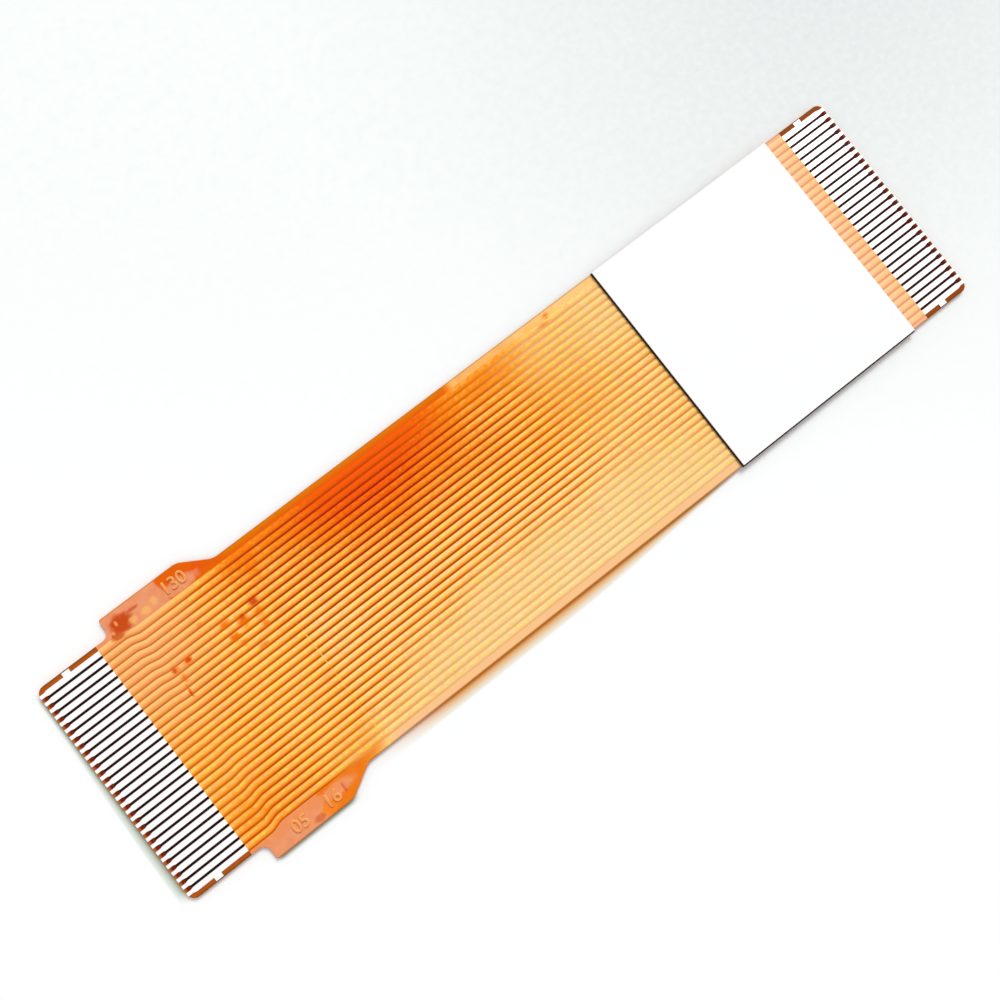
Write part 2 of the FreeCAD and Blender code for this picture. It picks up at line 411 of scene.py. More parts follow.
def make_cover():
    """The cover film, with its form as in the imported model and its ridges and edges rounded."""
    build = Mesh()
    tops, unders = [], []
    for x in cover_stations():
        section = ridge_section(copper_half_at(x))
        middles = [line_at(run, x) for run in RUNS]
        tops.append([build.add(x, middle + out, top) for middle in middles for out, top, _ in section])
        unders.append([build.add(x, middle + out, under) for middle in middles for out, _, under in section])
    for near, far in zip(tops, tops[1:]):
        build.strip(near, far)
    for near, far in zip(unders, unders[1:]):
        build.strip(near, far, turned=True)
    build.strip(tops[0], unders[0], turned=True)
    build.strip(tops[-1], unders[-1])
    for side, column in ((1, 0), (-1, -1)):
        outline = cover_outline(side)
        rim = [build.add(x, y, SKIN_TOP) for x, y in inset(outline, side, EDGE_ROUND)]
        foot = [build.add(x, y, COVER_LOW.z) for x, y in outline]
        inner_top = [row[column] for row in tops]
        inner_under = [row[column] for row in unders]
        turned = side < 0
        build.face(inner_top + rim[::-1], not turned)
        build.face(inner_under + foot[::-1], turned)
        build.strip(rim, foot, turned)
        build.face((inner_top[0], inner_under[0], foot[0], rim[0]), turned)
        build.face((inner_top[-1], inner_under[-1], foot[-1], rim[-1]), not turned)
    cover = build.piece("cover_film", cover_material())
    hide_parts("coverlay")


# How light the cover film looks: each ramp goes from the deep orange zone to the pale one. The pale
# zone is painted sheen, the room's light reflected in the film, laid over the film's own uneven tone.
CREST_STOPS = [
    (0.0, colour(246, 90, 2)),
    (0.25, colour(253, 142, 24)),
    (0.4, colour(254, 174, 60)),
    (0.55, colour(254, 192, 78)),
    (0.7, colour(254, 208, 96)),
    (0.85, colour(254, 218, 130)),
    (1.0, colour(254, 226, 152)),
]
# The ridges' -Y sides, in painted shade as by light from +Y
SHADED_FLANK_STOPS = [
    (0.0, colour(230, 76, 0)),
    (0.2, colour(242, 114, 0)),
    (0.5, colour(252, 144, 10)),
    (0.65, colour(252, 158, 40)),
    (0.85, colour(254, 190, 106)),
    (1.0, colour(254, 208, 138)),
]
GAP_STOPS = [
    (0.0, colour(154, 14, 0)),
    (0.15, colour(167, 31, 0)),
    (0.35, colour(184, 57, 0)),
    (0.5, colour(206, 84, 0)),
    (0.65, colour(214, 112, 34)),
    (0.8, colour(232, 156, 90)),
    (1.0, colour(238, 182, 132)),
]
MARGIN_STOPS = [
    (0.0, colour(226, 92, 0)),
    (0.25, colour(236, 106, 0)),
    (0.5, colour(246, 148, 44)),
    (0.75, colour(254, 204, 126)),
    (1.0, colour(250, 194, 142)),
]

# Where the tone changes. Each spot has its centre and reach in millimetres, how uneven its rim is, how far
# out it starts to fall off, and the change. Each step has its start and end in millimetres, and the change.
# Each drift has its size, its amount and how it is stretched.
# Most of these spots and steps lay painted sheen over the film: pale where the room's light is reflected in
# it, deep orange where it is not.
CREST_LEVEL = 0.6
CREST_SPOTS = [
    ((23.4, 7.8), (15.4, 9.2), 0.12, 0.0, -1.0),
    ((24.0, 2.2), (8.0, 2.6), 0.3, 0.0, -0.12),
    ((7.0, -7.0), (6.0, 5.0), 0.3, 0.0, -0.2),
    ((33.0, 2.0), (9.0, 4.5), 0.3, 0.0, -0.26),
    ((36.0, 5.5), (5.0, 7.5), 0.3, 0.0, -0.16),
    ((13.8, 7.0), (4.5, 3.0), 0.3, 0.0, -0.2),
    ((33.8, 6.4), (4.2, 2.2), 0.3, 0.0, -0.24),
    ((13.0, -7.2), (3.0, 2.4), 0.3, 0.0, -0.2),
    ((5.5, -3.5), (4.0, 5.0), 0.2, 0.3, -0.09),
    ((32.0, -7.0), (20.0, 7.0), 0.3, 0.0, 0.1),
]
CREST_STEPS = [(9.0, 12.0, 0.09), (14.3, 15.4, 0.13), (39.0, 42.0, 0.05), (34.0, 38.0, -0.07)]
WIDE_DRIFT = (3 * MM, 0.16, (2, 1, 1))
FINE_DRIFT = (0.18 * MM, 0.45, (1.6, 1, 1))
GAP_LEVEL = 0.42
GAP_SPOTS = [
    ((22.0, 4.0), (13.0, 8.0), 0.15, 0.0, -0.42),
    ((29.0, -8.0), (19.0, 7.0), 0.25, 0.45, 0.58),
    ((11.5, 0.0), (3.0, 8.0), 0.2, 0.5, 0.08),
    ((34.0, 7.0), (5.5, 3.6), 0.2, 0.0, 0.26),
    ((24.0, 7.3), (9.0, 2.4), 0.3, 0.3, 0.1),
    ((13.5, -7.2), (4.0, 2.8), 0.2, 0.2, 0.24),
    ((5.5, -2.5), (4.0, 5.5), 0.2, 0.3, 0.16),
]
GAP_STEPS = [(32.0, 37.0, 0.32)]
GAP_DRIFT = (1.2 * MM, 0.18, (2, 1, 1))
UPPER_GAPS = (1 * MM, 5 * MM)
UPPER_GAP_STEP = (33.0, 41.0, 0.0, 0.2)
UPPER_MARGIN_LEVEL = 0.1
UPPER_MARGIN_STEPS = [(29.9, 31.1, 0.56), (34.0, 40.0, 0.1)]
LOWER_MARGIN_LEVEL = 0.35
LOWER_MARGIN_STEPS = [(12.5, 16.0, 0.6)]
MARGIN_DRIFT = (0.8 * MM, 0.25)

# Where each part of a ridge lies, as shares of the way across it from its -Y side. Each ridge is painted
# lit toward +Y and in painted shade toward -Y, as by light from +Y.
LINE_RISE = (0.04, 0.3)
LINE_RISE_PINK = 0.16
LINE_FALL = (0.88, 0.97)
CREST_RISE = (0.14, 0.72)
GLARE_RISE = (0.4, 0.68)
GLARE_FALL = (0.74, 0.88)

# Zones: how strongly each colours the crests, the flanks and the gaps, and with what
PINK_SPOT = ((6.0, 6.5), (6.0, 8.5), 0.3, 0.2)
PINK_TINTS = ((0.85, colour(254, 190, 122)), (0.8, colour(246, 156, 84)), (0.75, colour(204, 118, 56)))
RIGHT_STRETCH = (55.0, 56.5)
RIGHT_TINTS = ((0.92, colour(255, 206, 156)), (0.92, colour(254, 196, 142)), (0.92, colour(244, 158, 122)))
YELLOW_STRETCH = (57.0, 58.2)
YELLOW_TINTS = ((0.6, colour(255, 200, 122)), (0.6, colour(255, 190, 112)))
FAINT_SPOT = ((26.5, 7.3), (10.5, 2.3), 0.2, 0.3)
FAINT_LINES = 0.5

# The crests' glare, and the pink and the yellow that they drift between
GLARE = colour(255, 216, 186)
GLARE_STRENGTH = 0.3
GLARE_TONES = (0.2, 0.8)
TINT_SIZE = 0.2 * MM
TINT_STRETCH = (2.5, 1, 1)
TINT_STRENGTH = 0.7
TINTED_TONES = (0.25, 0.55)
PALE_TONES = (0.75, 1.0)
PALE_TINT = 0.4
PINKER = colour(255, 176, 116)
PINKER_NOISE = (0.5, 0.7)
YELLOWER = colour(254, 214, 92)
YELLOWER_NOISE = (0.34, 0.52)

# The margins outside the ridges
RIGHT_MARGIN = colour(248, 184, 142)
BACKED_DARK = colour(228, 132, 92)
BACKED_LIGHT = colour(245, 170, 122)
BACKED_LOWER = colour(246, 140, 48)
LOWER_FADE = (-8.2 * MM, -7.6 * MM)
LOWER_STRENGTH = 0.35
BACKED_SIZE = 0.5 * MM
BACKED_BLUR = 0.15 * MM
BACKED_DRIFT = (0.7 * MM, 1.2 * MM)
BACKED_STRENGTH = 0.92
WORN_SPOTS = [((10.2, 7.7), (1.9, 0.55), 0.9), ((10.5, -7.8), (1.6, 0.5), 0.9)]
WORN_RIM = (0.6, 0.5)
REDDEST_SPOT = ((11.6, 7.9), (1.0, 0.5), 0.7, 0.2, 0.7)
REDDEST = colour(236, 80, 6)
SOAKED_SPOT = ((9.5, -8.5), (0.9, 0.5), 0.7, 0.4, 0.7)
SOAKED = colour(248, 138, 36)
OLIVE_RIM = (HALF_WIDTH - 0.45 * MM, HALF_WIDTH - 0.1 * MM)
OLIVE_STRETCH = ((13.0, 14.0), (29.5, 31.0))
OLIVE = colour(228, 120, 0)
EARS_END = (12.8, 13.2)
# The film's long edges are darker: partly the edge's own rim and partly painted contact shadow
EDGE_DARK = 0.12 * MM
EDGE_DARKEST = 0.024 * MM
EDGE_STRENGTH = 0.7
EDGE_RIM_AND_SHADOW = colour(188, 110, 20)

# Rubbed marks and stains: centre and reach in millimetres, then strength. The rim of each kind is how uneven
# it is, and how far out it starts to fall off.
RUBBED = [
    ((7.2, 3.7), (0.38, 0.36), 0.75),
    ((8.1, 3.72), (0.46, 0.32), 1.0),
    ((7.35, 3.0), (0.26, 0.44), 0.75),
    ((7.15, 2.2), (0.14, 0.7), 0.9),
    ((11.1, 4.12), (0.54, 0.36), 0.9),
    ((11.15, 3.1), (0.5, 0.5), 1.0),
    ((11.4, 2.5), (0.4, 0.32), 0.8),
    ((12.1, 3.6), (0.55, 0.6), 1.0),
    ((13.2, 3.5), (0.45, 0.5), 0.8),
    ((13.1, 2.7), (0.4, 0.32), 0.8),
    ((12.25, 1.7), (0.5, 0.24), 0.75),
    ((9.9, 5.05), (0.3, 0.2), 0.5),
    ((38.35, 7.35), (0.36, 0.26), 0.9),
    ((37.9, 7.0), (0.7, 0.16), 0.6),
]
RUBBED_RIM = (0.9, 0.2)
RUBBED_COLOUR = colour(244, 116, 0)
RUBBED_IN_GAPS = 0.35
BURNT = [
    ((13.25, 4.2), (0.46, 0.34), 0.9),
    ((12.2, 3.85), (0.24, 0.24), 0.7),
    ((8.15, 3.75), (0.3, 0.2), 0.7),
    ((7.1, 3.72), (0.2, 0.24), 0.7),
    ((7.1, 2.0), (0.1, 0.3), 0.7),
]
BURNT_RIM = (0.9, 0.35)
BURNT_COLOUR = colour(204, 54, 0)
BLOTS = [
    ((6.3, 7.95), (0.95, 0.74), 0.95),
    ((5.75, 7.45), (0.6, 0.34), 0.85),
    ((7.3, 8.25), (0.6, 0.14), 0.7),
    ((8.75, -8.55), (0.5, 0.28), 0.5),
    ((10.9, -8.0), (0.12, 0.45), 0.5),
]
BLOT_RIM = (0.8, 0.5)
BLOT_COLOUR = colour(200, 68, 0)
LIGHT_SPOTS = [
    ((7.0, 7.7), (0.4, 0.34), 0.7),
    ((7.9, 7.65), (0.5, 0.36), 0.75),
    ((8.6, 7.85), (0.3, 0.45), 0.6),
    ((6.05, 8.1), (0.14, 0.24), 0.6),
    ((5.6, 7.7), (0.1, 0.2), 0.6),
]
LIGHT_SPOT_RIM = (0.9, 0.3)
LIGHT_SPOT_COLOUR = colour(252, 186, 104)
SEAM_PLACE = 14.55
SEAM_HALF = 0.08 * MM
SEAM_STRENGTH = 0.7
SEAM_END = 2 * MM
SEAM_PATCH = 0.5 * MM
SEAM_NOISE = (0.42, 0.62)
SEAM_FAINTEST = 0.15
SEAM_COLOUR = colour(253, 208, 112)


def ridge_phase(shader):
    """How far a point lies across its ridge, from 0 at the gap on the -Y side to 1 at the gap on the +Y side,
    whether it lies beyond all the ridges, and whether it lies over the ridge nearest to +Y."""
    left = shader.ease(shader.x, JOG_START, JOG_END, 1.0, 0.0)
    spread = shader.add(left, shader.ease(shader.x, SPREAD_START, SPREAD_END))
    pitch = shader.add(shader.scale(spread, CONTACT_PITCH - BODY_PITCH), BODY_PITCH)
    pitches = shader.divide(shader.y, pitch)
    beyond = shader.above(shader.absolute(pitches), len(RUNS) / 2)
    first = shader.above(pitches, len(RUNS) / 2 - 1)
    return shader.math("FRACT", pitches), beyond, first


def gap_nearness(shader, phase, half, fade):
    """1 over the line between two ridges and 0 over the ridges."""
    distance = shader.less(0.5, shader.absolute(shader.less(phase, 0.5)))
    return shader.ease(distance, half, half + fade, 1.0, 0.0)


def dark_line(shader, phase, first, pink):
    """1 over the dark line between two ridges, where the film between the conductors is darker. It fades
    slowly over the -Y side of a ridge as painted shade and ends sharply at the +Y side of the next. It is
    narrower where the film is pink, none parts the first ridge from the margin, and the next few are faint by
    the deep orange zone."""
    start, end = LINE_RISE
    rise = shader.ease(phase, start, shader.ease(pink, 0.0, 1.0, end, LINE_RISE_PINK), 1.0, 0.0)
    fall = shader.scale(shader.ease(phase, *LINE_FALL), shader.less(1.0, first))
    faint = shader.ease(shader.spot(*FAINT_SPOT), 0.0, 1.0, 1.0, FAINT_LINES)
    return shader.scale(shader.most(rise, fall), faint)


def tone(shader, level, spots, steps):
    """A level with the change that each spot and each step makes to it."""
    changes = [shader.spot(*spot) for spot in spots]
    changes += [shader.along(start, end, 0.0, change) for start, end, change in steps]
    return shader.add(level, *changes)


def crest_tone(shader):
    """How light the ridges look over the cover, from 0, deep orange, to 1, pale: painted sheen at the pale
    end.
    """
    level = tone(shader, CREST_LEVEL, CREST_SPOTS, CREST_STEPS)
    return shader.add(level, shader.drift(*WIDE_DRIFT), shader.drift(*FINE_DRIFT))


def gap_tone(shader):
    """How light the lines between the ridges look over the cover, from 0, dark brown, to 1, pale: painted
    sheen at the pale end.
    """
    upper = shader.scale(shader.ease(shader.y, *UPPER_GAPS), shader.along(*UPPER_GAP_STEP))
    return shader.add(tone(shader, GAP_LEVEL, GAP_SPOTS, GAP_STEPS), upper, shader.drift(*GAP_DRIFT))


def margin_tone(shader):
    """How light the margins look, from 0, deep orange, to 1, pale. The pale end and the step along the
    upper margin are painted sheen of the room's light.
    """
    upper = shader.above(shader.y, 0.0)
    top = shader.scale(upper, tone(shader, UPPER_MARGIN_LEVEL, [], UPPER_MARGIN_STEPS))
    lower = shader.less(1.0, upper)
    bottom = shader.scale(lower, tone(shader, LOWER_MARGIN_LEVEL, [], LOWER_MARGIN_STEPS))
    return shader.add(top, bottom, shader.drift(*MARGIN_DRIFT))


def any_of(shader, spots, rim):
    """The strongest of several spots at each point. Their rim is how uneven it is and where it starts."""
    return shader.most(*[shader.spot(centre, reach, *rim, strength) for centre, reach, strength in spots])


def crest_shade(shader, phase, crests):
    """The colour of the crests, with a pale glare on the +Y side and drifting between yellow and pink."""
    crest = shader.ramp(crests, CREST_STOPS)
    glare = shader.scale(
        shader.ease(phase, *GLARE_RISE),
        shader.ease(phase, *GLARE_FALL, GLARE_STRENGTH, 0.0),
        shader.ease(crests, *GLARE_TONES),
    )
    crest = shader.mix(glare, crest, GLARE)
    tint = shader.noise(TINT_SIZE, stretch=TINT_STRETCH)
    tinted = shader.ease(crests, *TINTED_TONES, 0.0, TINT_STRENGTH)
    tinted = shader.scale(tinted, shader.ease(crests, *PALE_TONES, 1.0, PALE_TINT))
    crest = shader.mix(shader.scale(tinted, shader.ease(tint, *PINKER_NOISE)), crest, PINKER)
    yellower = shader.scale(tinted, shader.ease(tint, *YELLOWER_NOISE, 1.0, 0.0))
    return shader.mix(yellower, crest, YELLOWER)


def ridges_shade(shader, phase, line, pink):
    """The colour over the conductors: each ridge is painted lightest past its middle, toward light from +Y,
    falls off slowly into painted shade on its -Y side, and is parted from the next one by a dark line."""
    crests, gaps = crest_tone(shader), gap_tone(shader)
    flanks = shader.scale(shader.add(crests, gaps), 0.5)
    crest = crest_shade(shader, phase, crests)
    parts = [crest, shader.ramp(flanks, SHADED_FLANK_STOPS), shader.ramp(gaps, GAP_STOPS)]
    right, yellow = shader.along(*RIGHT_STRETCH), shader.along(*YELLOW_STRETCH)
    for zone, tints in ((pink, PINK_TINTS), (right, RIGHT_TINTS), (yellow, YELLOW_TINTS)):
        for index, (strength, tint) in enumerate(tints):
            parts[index] = shader.mix(shader.scale(zone, strength), parts[index], tint)
    crest, shaded_flank, gap = parts
    return shader.mix(line, shader.mix(shader.ease(phase, *CREST_RISE), shaded_flank, crest), gap)


def backed_shade(shader):
    """The colour of the margins over the stiffener, deeper by the lower ridges."""
    backed = shader.mix(shader.noise(BACKED_SIZE), BACKED_DARK, BACKED_LIGHT)
    lower = shader.ease(shader.y, *LOWER_FADE, 0.0, LOWER_STRENGTH)
    return shader.mix(shader.scale(lower, shader.below(shader.y, 0.0)), backed, BACKED_LOWER)


def margin_shade(shader):
    """The colour of the plain film outside the conductors."""
    margin = shader.ramp(margin_tone(shader), MARGIN_STOPS)
    margin = shader.mix(shader.along(*RIGHT_STRETCH), margin, RIGHT_MARGIN)
    margin = shader.mix(shader.spot(*REDDEST_SPOT), margin, REDDEST)
    uneven = shader.add(shader.x, shader.drift(*BACKED_DRIFT))
    start, end = STIFFENER_END - BACKED_BLUR, STIFFENER_END + BACKED_BLUR
    stiffened = shader.ease(uneven, start, end, BACKED_STRENGTH, 0.0)
    backing = shader.most(stiffened, any_of(shader, WORN_SPOTS, WORN_RIM))
    margin = shader.mix(backing, margin, backed_shade(shader))
    margin = shader.mix(shader.spot(*SOAKED_SPOT), margin, SOAKED)
    olive = shader.scale(shader.ease(shader.y, *OLIVE_RIM), shader.between(*OLIVE_STRETCH))
    margin = shader.mix(olive, margin, OLIVE)
    # Painted contact shadow along the lower edge, with the edge's own darker rim
    return shader.mix(edge_nearness(shader), margin, EDGE_RIM_AND_SHADOW)


def edge_nearness(shader):
    """Most along the film's long edges, where the film is darker, partly its edge's own rim and partly
    painted contact shadow, and 0 away from them.
    """
    off_middle = shader.absolute(shader.y)
    ears = shader.along(*EARS_END, 1.0, 0.0)
    body = shader.ease(off_middle, HALF_WIDTH - EDGE_DARK, HALF_WIDTH - EDGE_DARKEST)
    ear = shader.ease(off_middle, COVER_HIGH.y - EDGE_DARK, COVER_HIGH.y - EDGE_DARKEST)
    near = shader.add(shader.scale(body, shader.less(1.0, ears)), shader.scale(ear, ears))
    return shader.scale(near, EDGE_STRENGTH)


def seam_share(shader):
    """How much of the thin pale seam across the lower half of the body shows at each point."""
    off_seam = shader.absolute(shader.less(shader.x, from_left(SEAM_PLACE)))
    return shader.scale(
        shader.ease(off_seam, 0.0, SEAM_HALF, SEAM_STRENGTH, 0.0),
        shader.ease(shader.noise(SEAM_PATCH), *SEAM_NOISE, SEAM_FAINTEST, 1.0),
        shader.ease(shader.y, 0.0, SEAM_END, 1.0, 0.0),
    )


def cover_shade(shader):
    """The cover film's colour, with the conductors and the stiffener showing through it, painted sheen and
    painted light and shade over the ridges, and its marks.
    """
    phase, beyond, first = ridge_phase(shader)
    pink = shader.spot(*PINK_SPOT)
    line = dark_line(shader, phase, first, pink)
    shade = shader.mix(beyond, ridges_shade(shader, phase, line, pink), margin_shade(shader))
    on_ridge = shader.ease(line, 0.0, 1.0, 1.0, RUBBED_IN_GAPS)
    shade = shader.mix(shader.scale(any_of(shader, RUBBED, RUBBED_RIM), on_ridge), shade, RUBBED_COLOUR)
    shade = shader.mix(any_of(shader, BURNT, BURNT_RIM), shade, BURNT_COLOUR)
    shade = shader.mix(any_of(shader, BLOTS, BLOT_RIM), shade, BLOT_COLOUR)
    shade = shader.mix(any_of(shader, LIGHT_SPOTS, LIGHT_SPOT_RIM), shade, LIGHT_SPOT_COLOUR)
    return shader.mix(seam_share(shader), shade, SEAM_COLOUR)


# Materials
FILM_GLOSS = 0.06
FILM_BUMP = 0.2
FILM_BUMP_DEPTH = 0.008 * MM
COVER_BUMP_SIZE = 0.25 * MM
COVER_BUMP_DETAIL = 2.0
COVER_SHEEN_SIZE = 1.5 * MM
COVER_ROUGHNESS = (0.32, 0.44)
MIDDLE_NOISE = (0.3, 0.7)
PLAIN_SPREAD = 0.15
GRAIN_SHARE = 0.3
GRAIN_STRENGTH = 0.4
DIGIT_DARK = colour(236, 140, 78)
DIGIT_LIGHT = colour(248, 172, 98)
DIGIT_SPOTS = 0.3 * MM
# Painted light and shade on the digits' sides, by which way each side faces
DIGIT_LEAN = (0.6, 0.8)
DIGIT_LIT = (0.1, 0.6)
DIGIT_LIT_COLOUR = colour(250, 190, 112)
DIGIT_SHADED = (-0.5, -0.05)
DIGIT_SHADED_COLOUR = colour(160, 70, 14)
DIGIT_ROUGHNESS = 0.4
BASE_SIZE = 0.6 * MM
BASE_BUMP_SIZE = 0.2 * MM
BASE_ROUGHNESS = 0.35
RIGHT_FINGERS = (55.0, 58.0)
BASE_AMBER = colour(168, 74, 12)
BASE_AMBER_LIGHT = colour(190, 90, 22)
BASE_AMBER_RIGHT = colour(146, 66, 6)
BASE_RIGHT_STRENGTH = 0.8
BASE_RIM = (HALF_WIDTH - 0.16 * MM, HALF_WIDTH - 0.03 * MM)
BASE_RIM_COLOUR = colour(128, 76, 20)
BELOW_COPPER = colour(226, 132, 52)
BELOW_GAP = colour(176, 78, 16)
BELOW_GAP_HALF = 0.13
BELOW_GAP_FADE = 0.05
BETWEEN_FINGERS = colour(38, 8, 3)
BEHIND_TIPS = (0.35 * MM, 0.5 * MM)
BEHIND_TIPS_COLOUR = colour(112, 32, 8)
BETWEEN_RIGHT_FINGERS = colour(60, 10, 2)
BETWEEN_RIGHT_STRENGTH = 0.6
AT_TIPS = (0.04 * MM, 0.2 * MM)
AT_TIPS_COLOUR = colour(190, 92, 24)
AT_RIGHT_TIPS_STRENGTH = 0.35
TOP_DEPTH = 0.01 * MM
FINGER_SIDE = 0.155
FINGER_SIDE_FADE = 0.03
FINGER_SIDE_COLOUR = colour(72, 36, 24)
TIN = colour(250, 248, 247)
TIN_SIZE = 0.5 * MM
TIN_GRAIN = 0.15 * MM
TIN_GRAIN_DEPTH = 0.002 * MM
TIN_ROUGHNESS = 0.3
BRUSHED = (4, 1, 1)


def cover_material():
    shader = Shader("amber_cover_film")
    shader.bump(shader.noise(COVER_BUMP_SIZE, COVER_BUMP_DETAIL), FILM_BUMP, FILM_BUMP_DEPTH)
    roughness = shader.ease(shader.noise(COVER_SHEEN_SIZE), *MIDDLE_NOISE, *COVER_ROUGHNESS)
    return shader.finish(cover_shade(shader), roughness, FILM_GLOSS)


def digit_material():
    """Raised digits: like the film on top, with painted light on the side toward +Y and painted shade on the
    other.
    """
    shader = Shader("raised_digits")
    facing_x, facing_y, _ = shader.split(shader.normal)
    lean_x, lean_y = DIGIT_LEAN
    leaning = shader.add(shader.scale(facing_x, lean_x), shader.scale(facing_y, lean_y))
    top = shader.mix(shader.noise(DIGIT_SPOTS), DIGIT_DARK, DIGIT_LIGHT)
    shade = shader.mix(shader.ease(leaning, *DIGIT_LIT), top, DIGIT_LIT_COLOUR)
    shade = shader.mix(shader.ease(leaning, *DIGIT_SHADED, 1.0, 0.0), shade, DIGIT_SHADED_COLOUR)
    return shader.finish(shade, DIGIT_ROUGHNESS, FILM_GLOSS)


def plain_material(name, colours, size, roughness, specular=0.5, metallic=0.0, stretch=(1, 1, 1), depth=0.0):
    """A finish that drifts between two near colours in spots of about size metres."""
    shader = Shader(name)
    spots = shader.noise(size, stretch=stretch)
    if depth:
        shader.bump(shader.noise(size * GRAIN_SHARE, stretch=stretch), GRAIN_STRENGTH, depth)
    smooth, rough = roughness * (1 - PLAIN_SPREAD), roughness * (1 + PLAIN_SPREAD)
    uneven = shader.ease(spots, *MIDDLE_NOISE, smooth, rough)
    return shader.finish(shader.mix(spots, *colours), uneven, specular, metallic)


def underside_shade(shader, amber):
    """The base film from below: striped where the conductors show through, plain outside them."""
    phase, beyond, _ = ridge_phase(shader)
    striped = shader.mix(gap_nearness(shader, phase, BELOW_GAP_HALF, BELOW_GAP_FADE), BELOW_COPPER, BELOW_GAP)
    return shader.mix(beyond, striped, amber)


def finger_gap_shade(shader):
    """The base film between the contact fingers: near-black, browner by the tips and at the right end."""
    off_tips = shader.less(LENGTH / 2, shader.absolute(shader.x))
    shade = shader.mix(shader.ease(off_tips, *BEHIND_TIPS, 1.0, 0.0), BETWEEN_FINGERS, BEHIND_TIPS_COLOUR)
    right = shader.along(*RIGHT_FINGERS, 0.0, BETWEEN_RIGHT_STRENGTH)
    shade = shader.mix(right, shade, BETWEEN_RIGHT_FINGERS)
    tips = shader.ease(off_tips, *AT_TIPS, 1.0, 0.0)
    tips = shader.scale(tips, shader.along(*RIGHT_FINGERS, 1.0, AT_RIGHT_TIPS_STRENGTH))
    return shader.mix(tips, shade, AT_TIPS_COLOUR)


def base_material():
    """The base film: amber with a dark rim, near-black between the fingers, and striped below."""
    shader = Shader("amber_base_film")
    amber = shader.mix(shader.noise(BASE_SIZE), BASE_AMBER, BASE_AMBER_LIGHT)
    amber = shader.mix(shader.along(*RIGHT_FINGERS, 0.0, BASE_RIGHT_STRENGTH), amber, BASE_AMBER_RIGHT)
    off_middle = shader.absolute(shader.y)
    edge = shader.mix(shader.ease(off_middle, *BASE_RIM), amber, BASE_RIM_COLOUR)
    above = shader.mix(shader.below(off_middle, OUTERMOST), edge, finger_gap_shade(shader))
    upward = shader.above(shader.z, FILM_HIGH.z - TOP_DEPTH)
    shade = shader.mix(upward, underside_shade(shader, amber), above)
    shader.bump(shader.noise(BASE_BUMP_SIZE), FILM_BUMP, FILM_BUMP_DEPTH)
    return shader.finish(shade, BASE_ROUGHNESS, FILM_GLOSS)


def tin_material(side):
    """Bright tin, duller and browner along the sides of each finger."""
    shader = Shader(f"bright_tin_{side}")
    phase = shader.math("FRACT", shader.divide(shader.y, CONTACT_PITCH))
    inside = shader.below(shader.absolute(shader.y), OUTERMOST)
    sides = shader.scale(gap_nearness(shader, phase, FINGER_SIDE, FINGER_SIDE_FADE), inside)
    bright = shader.mix(shader.noise(TIN_SIZE, stretch=BRUSHED), TIN, WHITE)
    shader.bump(shader.noise(TIN_GRAIN, stretch=BRUSHED), GRAIN_STRENGTH, TIN_GRAIN_DEPTH)
    return shader.finish(shader.mix(sides, bright, FINGER_SIDE_COLOUR), TIN_ROUGHNESS, metallic=1.0)


def dress(node, material):
    """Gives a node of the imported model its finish."""
    data = NODES[node].data
    data.materials.clear()
    data.materials.append(material)


def dress_nodes():
    copper_colours = (colour(188, 108, 70), colour(222, 140, 98))
    copper = plain_material("etched_copper", copper_colours, 0.3 * MM, 0.4, metallic=1.0, stretch=BRUSHED)
    stiff_colours = (colour(176, 84, 26), colour(196, 100, 36))
    stiff = plain_material("stiffener_film", stiff_colours, 2 * MM, 0.3, 0.3, depth=0.004 * MM)
    bond = plain_material("bonding_sheet", (colour(150, 84, 36), colour(172, 102, 52)), 0.4 * MM, 0.6, 0.3)
    # Near-black tape edge: partly its own dark colour and partly painted contact shadow by the liner
    tape = plain_material("tape_edge_and_shadow", (colour(34, 20, 14), colour(62, 36, 24)), 0.3 * MM, 0.7, 0.1)
    paper_colours = (colour(251, 251, 251), WHITE)
    paper = plain_material("liner_paper", paper_colours, 0.15 * MM, 0.6, 0.2, depth=0.002 * MM)
    for name in CONDUCTORS:
        dress(name, copper)
    for side in ("left", "right"):
        dress(f"contact_plating_{side}", tin_material(side))
        dress(f"stiffener_{side}", stiff)
        dress(f"stiffener_bond_{side}", bond)
    dress("adhesive_tape", tape)
    dress("release_liner", paper)
    dress("base_film", base_material())


# Plain numbers on the ears
DIGITS = (("130", (10.15, 7.98)), ("05", (7.6, -8.12)), ("16", (9.95, -8.12)))
DIGIT_SIZE = 1.15 * MM
DIGIT_RISE = 0.012 * MM
DIGIT_SLOPE = 0.03 * MM
DIGIT_LIFT = 0.008 * MM


def make_digits():
    material = digit_material()
    for number, (text, (place, across)) in enumerate(DIGITS, start=1):
        data = bpy.data.curves.new(f"digits_{number}", "FONT")
        data.body = text
        data.size = DIGIT_SIZE
        data.align_x = "CENTER"
        data.align_y = "CENTER"
        data.extrude = DIGIT_RISE
        data.bevel_depth = DIGIT_SLOPE
        data.bevel_resolution = 1
        data.resolution_u = 4
        data.materials.append(material)
        digits = bpy.data.objects.new(f"ear_number_{number}", data)
        digits.location = (from_left(place), across * MM, SKIN_TOP + DIGIT_LIFT)
        bpy.context.scene.collection.objects.link(digits)
        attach(digits, BODY)


# Surroundings
FLOOR_REACH = 3.0
FLOOR_DROP = 0.004 * MM
FLOOR_CORNERS = [(-1, -1), (1, -1), (1, 1), (-1, 1)]
FLOOR_DETAIL = 4.0
FLOOR_ROUGHNESS = 0.9
FLOOR_GLOSS = 0.1
